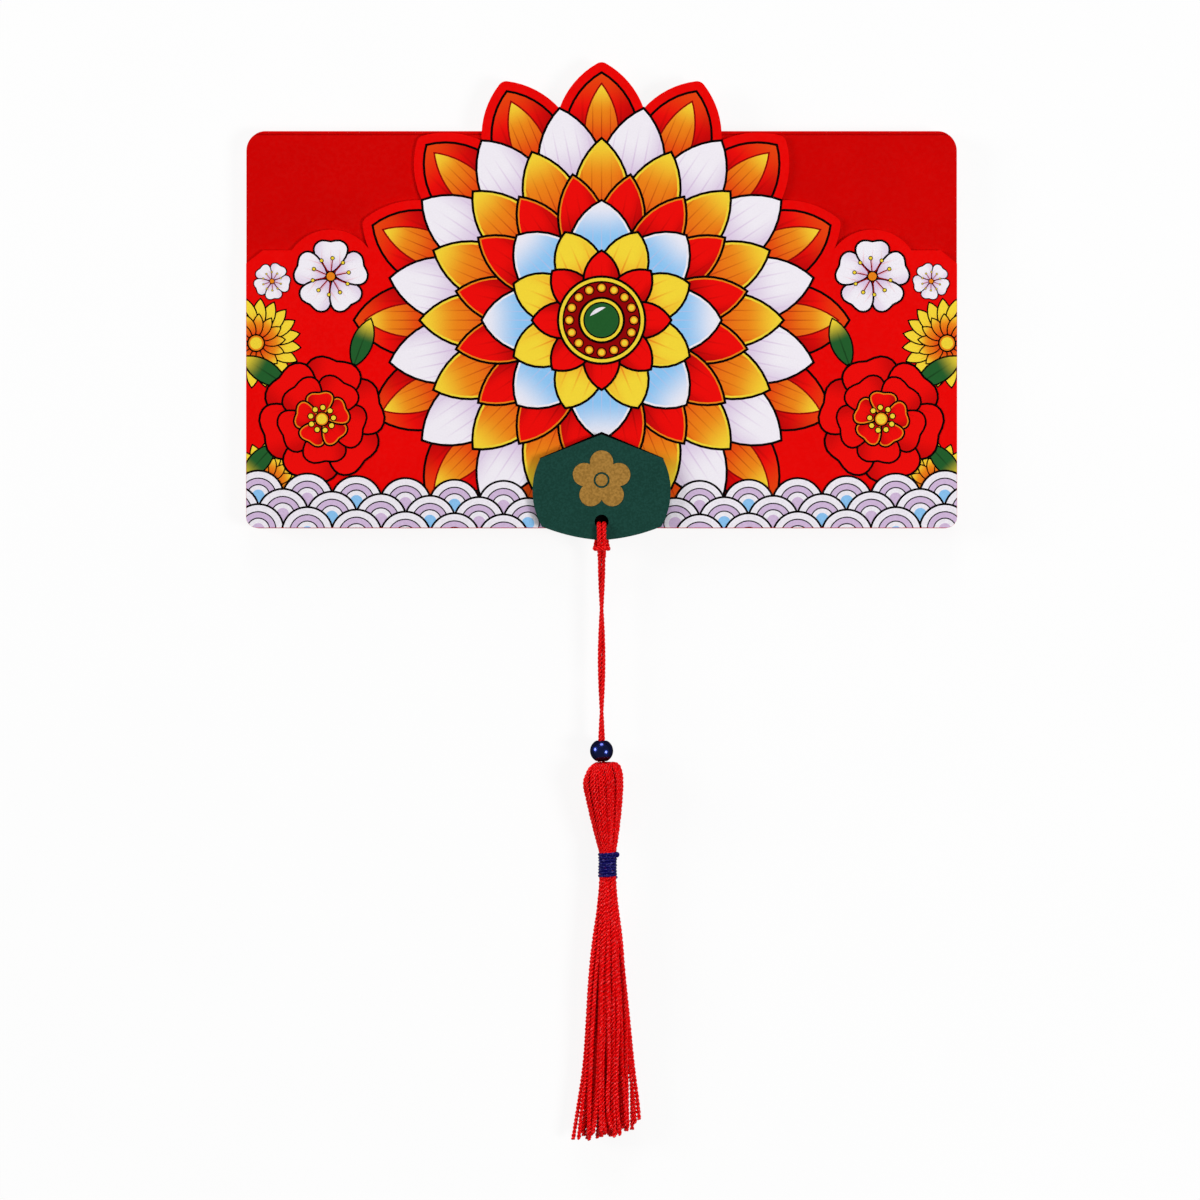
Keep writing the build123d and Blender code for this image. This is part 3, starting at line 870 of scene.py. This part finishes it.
class ENVELOPE_OT_waves(bpy.types.Operator):
    """Print the scalloped waves along the bottom edge, and lay a black dot behind the tag's hole as painted
    shadow
    """

    bl_idname = "envelope.waves"
    bl_label = "Waves and tag hole shadow"

    def execute(self, context):
        look = context.scene.envelope_print
        radius = 6.6
        pitch = 1.86 * radius
        clear = 13.0
        waves = Sheet()
        for row, rise in enumerate((5.2, 1.0, -3.2)):
            count = math.ceil(CARD_HIGH.x / pitch) + 1
            for number in range(-count, count + 1):
                x = (number + row / 2) * pitch
                if abs(x) < clear:
                    continue
                # The rows climb towards the card's sides.
                y = CARD_LOW.y + rise + 3.0 * (x / CARD_HIGH.x) ** 2
                height = 0.05 * row + 0.02 * (number % 2)
                waves.placed(lambda sheet: self.scallop(sheet, radius, number + row, height), x, y)
        waves.trim_to_card()
        waves.finish("wave_band", 8.0, look)
        # Painted shadow: a black dot on the card behind the tag's hole, so that the hole looks dark.
        hole_shadow = Sheet()
        hole_shadow.dot(4.2, [], "black", 0.0, (0, TAG_HOLE_Y + 1.0))
        hole_shadow.trim_to_card()
        hole_shadow.finish("tag_ground", 4.8, look)
        line = Sheet()
        shoulder = TAG_HIGH.y - 6.0
        upper = [(15.6, shoulder + 0.15), (0, TAG_HIGH.y + 0.75), (-15.6, shoulder + 0.15)]
        lower = [(-14.0, shoulder - 0.6), (0, TAG_HIGH.y - 0.9), (14.0, shoulder - 0.6)]
        line.stamp([*upper, *lower], [], "black")
        line.finish("tag_outline", 9.5, look)
        return {"FINISHED"}

    def scallop(self, sheet, radius, number, height):
        """One wave of the band: rings of white, lilac and blue."""
        bands = [(0.5, "black"), (1.5, "white"), (0.3, "black")]
        bands += [(1.3, "lilac"), (0.3, "black"), (1.1, "white")]
        sheet.dot(radius, bands, "blue" if number % 2 else "lilac", height, steps=44)


class ENVELOPE_OT_cord(bpy.types.Operator):
    """Lay the hitch round the tag's tip and the two twisted strands down to the tassel"""

    bl_idname = "envelope.cord"
    bl_label = "Hitch and cord"

    # Reach of the bend in the hitch's ends, from the hinge on which the cord lifts
    bend = Vector((0, 1.9, 1.25))
    # The hitch is fuller than the cord, because nothing pulls on it.
    hitch_fullness = 1.22
    # Distance from the hole's middle up to which the bight is pressed, and from which the tag covers it
    pressed_reach, covered_reach = 6.1, 1.3
    # How far the cord stops short of its route's end, where the head's yarn takes hold of it
    cord_short = 0.2

    def execute(self, context):
        size = context.scene.envelope_tassel
        # The second finish colours the strands' hearts darker, as painted shade between their plies.
        finishes = [
            thread_material("cord_thread", size.cord, 60.0, 0.3, 0.25),
            shade_material("cord_shade", size.cord),
        ]
        hitch_line = route_line(HITCH_ROUTE, 14)
        hitch = self.strand_mesh("hitch_strands", [hitch_line], size, self.hitch_fullness)
        self.press(hitch)
        hitch = add_piece("hitch_strands", hitch, finishes, None)
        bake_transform(hitch)
        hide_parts("cord_hitch")
        self.declare(hitch, hitch_line, size.strand, [])
        foot = Vector((0, CORD_END_Y + self.cord_short, TASSEL_Z))
        middle = [point for point in route_line(CORD_ROUTE, 80) if point.y > foot.y + 0.05] + [foot]
        pitch = HINGE_Y - CORD_END_Y
        pair = [wound_line(middle, size.strand_gap / 2 / MM, pitch, phase) for phase in (0.0, math.pi)]
        cord = self.strand_mesh("cord_strands", pair, size)
        cord = add_piece("cord_strands", cord, finishes, "cord")
        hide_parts("tassel_cord")
        carried = [bpy.data.objects[name] for name in ("head_yarn", "head_core", "neck_winding")]
        self.declare(cord, middle, size.strand + size.strand_gap, [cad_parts["bead"], *carried])
        return {"FINISHED"}

    def strand_mesh(self, name, lines, size, fullness=1.0):
        """Strands of three plies round a dark heart, which shows between the plies as painted shade."""
        width = size.strand * fullness
        plies = []
        for line in lines:
            for ply in range(3):
                phase = FULL_TURN * ply / 3
                plies.append(wound_line(line, 0.34 * width / MM, size.ply_pitch / MM, phase))
        return tube_mesh(name, [(plies, 0.25 * width), (lines, 0.38 * width)])

    def press(self, mesh):
        """Flatten the bight where it lies between the tag and the card."""
        hole = Vector((0.0, TAG_HOLE_Y))
        for vert in mesh.vertices:
            place = vert.co / MM
            away = (place.xy - hole).length
            if away < self.pressed_reach and place.z < TAG_LOW.z + 0.4:
                place.z = max(place.z, FRONT_TOP + 0.13)
                if away > self.covered_reach:
                    place.z = min(place.z, TAG_LOW.z - 0.03)
                vert.co = place * MM

    def declare(self, piece, line, diameter, hung):
        """Left empty: it says nothing of the cord's length or thickness."""


class ENVELOPE_OT_bead(bpy.types.Operator):
    """Give the bead its lacquer"""

    bl_idname = "envelope.bead"
    bl_label = "Bead"

    def execute(self, context):
        dress("bead", bead_material("bead_lacquer", context.scene.envelope_tassel.bead))
        return {"FINISHED"}


def lean_at(y, size):
    """How far the tassel leans to the right at a height on its line."""
    return size.lean / MM * between([(BINDING_HIGH.y, 1.0), (HEAD_TOP, 0.0)], y)


class ENVELOPE_OT_head(bpy.types.Operator):
    """Fold the yarn over into the tassel's head and run it down through the neck"""

    bl_idname = "envelope.head"
    bl_label = "Tassel head"

    # Drop below the head's top and radius to the middle of the yarn
    profile = [
        *((0.79, 1.1), (0.92, 2.1), (1.6, 3.4), (3.1, 4.35), (5.4, 4.72), (9.2, 4.2)),
        *((14.0, 3.45), (19.0, 2.55), (22.6, 1.85), (24.5, 1.5), (29.6, 1.45)),
    ]
    # Drop below the head's top and share of the slump that the yarn takes there
    shoulder = [(0.79, 0.0), (2.4, 1.0), (8.0, 0.0)]

    def execute(self, context):
        size = context.scene.envelope_tassel
        chance = random.Random(11)
        lines = []
        for thread in range(size.head_threads):
            angle = FULL_TURN * (thread + chance.uniform(-0.25, 0.25)) / size.head_threads
            ridge = 0.16 * math.cos(15 * angle) + chance.uniform(-0.1, 0.1)
            slump = -1.8 * math.cos(angle)
            lines.append([self.place(*row, angle, ridge, slump, size) for row in self.profile])
        finish = thread_material("yarn", size.yarn, 45.0, 0.26, 0.6)
        shade = shade_material("yarn_shade", size.yarn)
        width = 0.72 * size.thread
        plies = []
        for line in lines:
            plies += plied(line, width / MM, size.twist / MM, 20, chance.uniform(0, FULL_TURN))
        shade_hearts = [route_line(line, 5) for line in lines]
        mesh = tube_mesh("head_yarn", yarn_layers(plies, shade_hearts, width), ring=0)
        piece = add_piece("head_yarn", mesh, [finish, shade], "tassel")
        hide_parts("tassel_head")
        # The core takes the darkened yarn finish, as painted shade in the gaps between threads.
        add_piece("head_core", self.core(size), [shade], "tassel")
        return {"FINISHED"}

    def place(self, drop, radius, angle, ridge, slump, size):
        """Point of one thread on the head's form, with the lower shoulder on the left."""
        y = HEAD_TOP - drop - slump * between(self.shoulder, drop)
        # The ridges between threads fade towards the top and the neck.
        reach = radius + ridge * min(1.0, drop / 3.0) * min(1.0, max(0.0, 23.0 - drop) / 6.0)
        x = reach * math.cos(angle) + lean_at(y, size)
        return (x, y, TASSEL_Z + reach * math.sin(angle))

    def core(self, size):
        """Body of yarn inside the head that closes the gaps between threads, dark with painted shade."""
        work = bmesh.new()
        rail = [(max(0.4, radius - 0.35), HEAD_TOP - drop - 0.5) for drop, radius in self.profile[1:]]
        chain = [work.verts.new((x, y, TASSEL_Z)) for x, y in [(0, rail[0][1]), *rail, (0, rail[-1][1])]]
        edges = [work.edges.new(pair) for pair in zip(chain, chain[1:])]
        bmesh.ops.spin(
            work,
            geom=[*chain, *edges],
            cent=(0, 0, TASSEL_Z),
            axis=(0, 1, 0),
            dvec=(0, 0, 0),
            angle=FULL_TURN,
            steps=28,
            use_merge=True,
        )
        bmesh.ops.remove_doubles(work, verts=work.verts, dist=1e-4)
        bmesh.ops.recalc_face_normals(work, faces=work.faces)
        for vert in work.verts:
            vert.co.x += lean_at(vert.co.y, size)
        bmesh.ops.scale(work, vec=(MM, MM, MM), verts=work.verts)
        for face in work.faces:
            face.smooth = True
        return finished(work, "head_core")


class ENVELOPE_OT_binding(bpy.types.Operator):
    """Wind the navy thread round the neck"""

    bl_idname = "envelope.binding"
    bl_label = "Neck binding"

    def execute(self, context):
        size = context.scene.envelope_tassel
        points_per_turn = 14
        total = points_per_turn * size.binding_turns
        top = BINDING_HIGH.y - 0.4
        bottom = BINDING_LOW.y + 0.4
        chance = random.Random(5)
        line = []
        for step in range(total + 1):
            share = step / total
            angle = FULL_TURN * step / points_per_turn
            radius = 2.0 + 0.15 * abs(2 * share - 1) ** 3 + chance.uniform(-0.06, 0.06)
            y = top + (bottom - top) * share + chance.uniform(-0.03, 0.03)
            x = radius * math.cos(angle) + lean_at(y, size)
            line.append((x, y, TASSEL_Z + radius * math.sin(angle)))
        # The thread's end is knotted at the upper right.
        knot = []
        knot_radius = 0.34
        for step in range(19):
            angle = FULL_TURN * step / 12
            x = line[0][0] + 0.1 + knot_radius * math.cos(angle)
            y = top - 0.35 + knot_radius * math.sin(angle)
            knot.append((x, y, TASSEL_Z + 0.5 + 0.03 * step))
        finish = thread_material("navy_thread", size.binding, 260.0, 0.2, 0.6)
        mesh = tube_mesh("neck_winding", [([line, knot], 0.35 * size.thread)], "NURBS", 2, 4)
        piece = add_piece("neck_winding", mesh, [finish], "tassel")
        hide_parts("tassel_binding")
        return {"FINISHED"}


class ENVELOPE_OT_skirt(bpy.types.Operator):
    """Hang the loose threads of the skirt"""

    bl_idname = "envelope.skirt"
    bl_label = "Tassel skirt"

    # Drop below the neck and reach from the middle to the left, to the right and to the front
    left_reach = [(0.0, 1.55), (8.0, 2.4), (16.0, 3.4), (32.5, 5.0), (50.0, 6.1), (65.0, 7.0)]
    right_reach = [(0.0, 1.55), (8.0, 2.4), (16.0, 3.3), (32.5, 4.6), (50.0, 5.2), (65.0, 5.8)]
    half_depth = [(0.0, 1.55), (16.0, 2.2), (32.5, 2.6), (65.0, 2.6)]
    drops = [-3.0, 1.0, 7.0, 15.0, 25.0, 36.0, 47.0, 57.0]
    # Threads that part from the rest: place across, how far out at the end, and where they part and end
    strays = [
        (-0.97, 1.9, 50.0, 65.5),
        (0.98, 2.9, 30.0, 60.5),
        (0.96, 2.1, 38.0, 61.5),
        (1.0, 0.9, 10.0, 63.0),
    ]

    def execute(self, context):
        size = context.scene.envelope_tassel
        chance = random.Random(23)
        width = size.thread / MM
        core = []
        plies = {"skirt_front": [], "skirt_back": []}
        shade_hearts = {"skirt_front": [], "skirt_back": []}
        for thread in range(size.skirt_threads):
            spread = math.sqrt((thread + 0.5) / size.skirt_threads)
            angle = thread * math.pi * (3 - math.sqrt(5))
            across, deep = spread * math.cos(angle), spread * math.sin(angle)
            end = 63.9 + chance.uniform(-1.4, 1.2) - 1.2 * across
            line = self.fall(across, deep, end, chance, size)
            if spread < 0.55:
                core.append(line)
            else:
                side = "skirt_front" if deep > 0 else "skirt_back"
                plies[side] += plied(line, width, size.twist / MM, 40, chance.uniform(0, FULL_TURN))
                shade_hearts[side].append(route_line(line, 6))
        for across, out, parting, end in self.strays:
            line = self.fall(across, 0.1, end, chance, size, out, parting)
            plies["skirt_front"] += plied(line, width, size.twist / MM, 40)
            shade_hearts["skirt_front"].append(route_line(line, 6))
        finish = thread_material("skirt_yarn", size.yarn, 95.0, 0.24, 0.8)
        shade = shade_material("yarn_shade", size.yarn)
        mesh = tube_mesh("skirt_core", [(core, 0.5 * size.thread)], "NURBS", 1, 6)
        pieces = [add_piece("skirt_core", mesh, [finish], "tassel")]
        for side in plies:
            mesh = tube_mesh(side, yarn_layers(plies[side], shade_hearts[side], size.thread), ring=0)
            pieces.append(add_piece(side, mesh, [finish, shade], "tassel"))
        for piece in pieces:
            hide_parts("tassel_skirt")
        return {"FINISHED"}

    def fall(self, across, deep, end, chance, size, out=0.0, parting=0.0):
        """Route of one thread from the neck to its end."""
        line = []
        for drop in [*self.drops, end]:
            fallen = max(0.0, drop) / SKIRT_LENGTH
            reach = between(self.left_reach if across < 0 else self.right_reach, drop)
            x = across * reach + chance.uniform(-0.45, 0.45) * min(1.0, fallen * 2.5)
            # Neighbours gather into locks towards the end.
            x += 0.45 * fallen * math.sin(FULL_TURN * x / 3.1)
            if out:
                x += math.copysign(out, across) * max(0.0, drop - parting) / (end - parting)
            middle = TASSEL_Z + (SKIRT_END_Z - TASSEL_Z) * fallen
            z = max(0.45, middle + deep * between(self.half_depth, drop))
            y = SKIRT_HIGH.y - drop
            line.append((x + lean_at(y, size), y, z))
        return line


class ENVELOPE_OT_stage(bpy.types.Operator):
    """Set the floor, the lamps and the camera"""

    bl_idname = "envelope.stage"
    bl_label = "Stage"

    centre = Vector((-0.0004, -0.0678, 0.005))
    lamp_distance = 1.5
    floor_reach = 12.0
    backdrop_height = 1.3
    floor_gap = 0.0001

    def execute(self, context):
        stage = context.scene.envelope_stage
        context.scene.view_settings.view_transform = "Standard"
        self.floor(context)
        self.sky(context, stage.sky)
        # Each lamp: name, direction towards it, power and width
        for name, towards, power, width in (
            ("left_lamp", (-0.9, 0.2, 0.34), stage.left, 0.5),
            ("top_lamp", (0.0, 0.92, 0.33), stage.top, 0.55),
            ("right_lamp", (0.7, -0.18, 0.68), stage.right, 0.45),
        ):
            self.lamp(context, name, Vector(towards).normalized(), power, width)
        self.camera(context, stage)
        return {"FINISHED"}

    def floor(self, context):
        """Wide pale floor just below the card, turned up at its far edges as a backdrop for low views."""
        work = bmesh.new()
        bmesh.ops.create_grid(work, x_segments=4, y_segments=4, size=self.floor_reach)
        edges = [edge for edge in work.edges if edge.is_boundary]
        raised = bmesh.ops.extrude_edge_only(work, edges=edges)["geom"]
        rim = [part for part in raised if isinstance(part, bmesh.types.BMVert)]
        bmesh.ops.translate(work, vec=(0, 0, self.backdrop_height), verts=rim)
        bmesh.ops.translate(work, vec=(0, 0, -self.floor_gap), verts=work.verts)
        mesh = finished(work, "floor")
        mesh.materials.append(floor_material("floor_paper"))
        floor = bpy.data.objects.new("floor", mesh)
        context.scene.collection.objects.link(floor)

    def sky(self, context, strength):
        """Even light from all round."""
        world = bpy.data.worlds.new("even_sky")
        world.use_nodes = True
        background = world.node_tree.nodes["Background"]
        background.inputs["Color"].default_value = (1, 1, 1, 1)
        background.inputs["Strength"].default_value = strength
        context.scene.world = world

    def lamp(self, context, name, towards, power, width):
        """Square soft lamp that points at the object."""
        light = bpy.data.lights.new(name, "AREA")
        light.energy = power
        light.size = width
        lamp = bpy.data.objects.new(name, light)
        lamp.location = self.centre + towards * self.lamp_distance
        lamp.rotation_euler = (-towards).to_track_quat("-Z", "Y").to_euler()
        context.scene.collection.objects.link(lamp)

    def camera(self, context, stage):
        """Camera straight above, at the photograph's framing."""
        data = bpy.data.cameras.new("camera")
        data.lens = stage.lens
        distance = stage.view_width * stage.lens / data.sensor_width
        camera = bpy.data.objects.new("camera", data)
        camera.location = self.centre + Vector((0, 0, distance))
        context.scene.collection.objects.link(camera)
        context.scene.camera = camera


STEPS = (
    ENVELOPE_OT_stage,
    ENVELOPE_OT_card,
    ENVELOPE_OT_flower,
    ENVELOPE_OT_blossoms,
    ENVELOPE_OT_waves,
    ENVELOPE_OT_bead,
    ENVELOPE_OT_head,
    ENVELOPE_OT_binding,
    ENVELOPE_OT_skirt,
    ENVELOPE_OT_cord,
)


class ENVELOPE_PT_panel(bpy.types.Panel):
    """Lists the steps that build the envelope and the values they use"""

    bl_label = "Folding red envelope"
    bl_space_type = "VIEW_3D"
    bl_region_type = "UI"
    bl_category = "Envelope"

    def draw(self, context):
        for step in STEPS:
            self.layout.operator(step.bl_idname)
        for name in SETTINGS:
            group = getattr(context.scene, name)
            box = self.layout.box()
            for prop in group.bl_rna.properties:
                if prop.identifier not in ("name", "rna_type"):
                    box.prop(group, prop.identifier)


SETTINGS = {
    "envelope_print": EnvelopePrint,
    "envelope_card": EnvelopeCard,
    "envelope_tassel": EnvelopeTassel,
    "envelope_stage": EnvelopeStage,
}


def register():
    for cls in (*SETTINGS.values(), *STEPS, ENVELOPE_PT_panel):
        bpy.utils.register_class(cls)
    for name, cls in SETTINGS.items():
        setattr(bpy.types.Scene, name, PointerProperty(type=cls))


def unregister():
    for name in SETTINGS:
        delattr(bpy.types.Scene, name)
    for cls in (ENVELOPE_PT_panel, *reversed(STEPS), *SETTINGS.values()):
        bpy.utils.unregister_class(cls)


def main():
    """Register the add-on and run its steps in order."""
    register()
    bpy.ops.envelope.stage()
    bpy.ops.envelope.card()
    bpy.ops.envelope.flower()
    bpy.ops.envelope.blossoms()
    bpy.ops.envelope.waves()
    bpy.ops.envelope.bead()
    bpy.ops.envelope.head()
    bpy.ops.envelope.binding()
    bpy.ops.envelope.skirt()
    bpy.ops.envelope.cord()


if __name__ == "__main__":
    main()
